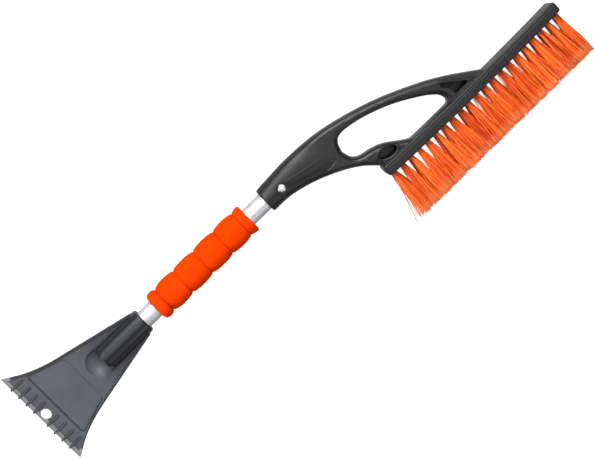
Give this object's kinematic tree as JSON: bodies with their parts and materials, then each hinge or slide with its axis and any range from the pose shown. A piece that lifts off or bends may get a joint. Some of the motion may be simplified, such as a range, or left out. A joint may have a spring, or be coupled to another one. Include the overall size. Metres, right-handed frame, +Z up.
{
  "type": "windshield ice scraper",
  "caption": "Hand-held snow brush with an ice scraper: a tufted brush head with a finger hole, a metal tube with a soft grip, and a flared toothed blade at the other end.",
  "frame": {"origin": "middle of the underside of the whole object as it lies on its side", "axes": "+X along the tube from the blade to the brush, -Y the way the bristles point, +Z up through the thin side"},
  "size_m": [0.6108, 0.1648, 0.031],
  "materials": {
    "scraper_plastic": "slate-grey satin moulding with a fine texture, glossier on its round socket",
    "head_plastic": "charcoal satin moulding, soft sheen on rounded edges",
    "tube_aluminium": "drawn aluminium, satin, fine lines along the tube",
    "foam": "soft closed-cell foam, matt orange with fine pores",
    "bristles": "orange polymer filaments, slightly glossy, paler and fuzzy at the tips",
    "screw_steel": "zinc-plated steel, satin"
  },
  "bodies": {
    "root": {"scraper_head": "scraper_plastic", "handle_tube": "tube_aluminium", "foam_grip": "foam", "brush_head": "head_plastic", "head_screw": "screw_steel", "scraper_screw": "screw_steel", "tuft_front_01": "bristles", "tuft_front_02": "bristles", "tuft_front_03": "bristles", "tuft_front_04": "bristles", "tuft_front_05": "bristles", "tuft_front_06": "bristles", "tuft_front_07": "bristles", "tuft_front_08": "bristles", "tuft_front_09": "bristles", "tuft_front_10": "bristles", "tuft_front_11": "bristles", "tuft_front_12": "bristles", "tuft_front_13": "bristles", "tuft_front_14": "bristles", "tuft_front_15": "bristles", "tuft_front_16": "bristles", "tuft_front_17": "bristles", "tuft_front_18": "bristles", "tuft_front_19": "bristles", "tuft_front_20": "bristles", "tuft_front_21": "bristles", "tuft_back_01": "bristles", "tuft_back_02": "bristles", "tuft_back_03": "bristles", "tuft_back_04": "bristles", "tuft_back_05": "bristles", "tuft_back_06": "bristles", "tuft_back_07": "bristles", "tuft_back_08": "bristles", "tuft_back_09": "bristles", "tuft_back_10": "bristles", "tuft_back_11": "bristles", "tuft_back_12": "bristles", "tuft_back_13": "bristles", "tuft_back_14": "bristles", "tuft_back_15": "bristles", "tuft_back_16": "bristles", "tuft_back_17": "bristles", "tuft_back_18": "bristles", "tuft_back_19": "bristles", "tuft_back_20": "bristles", "tuft_back_21": "bristles"}
  },
  "joints": []
}
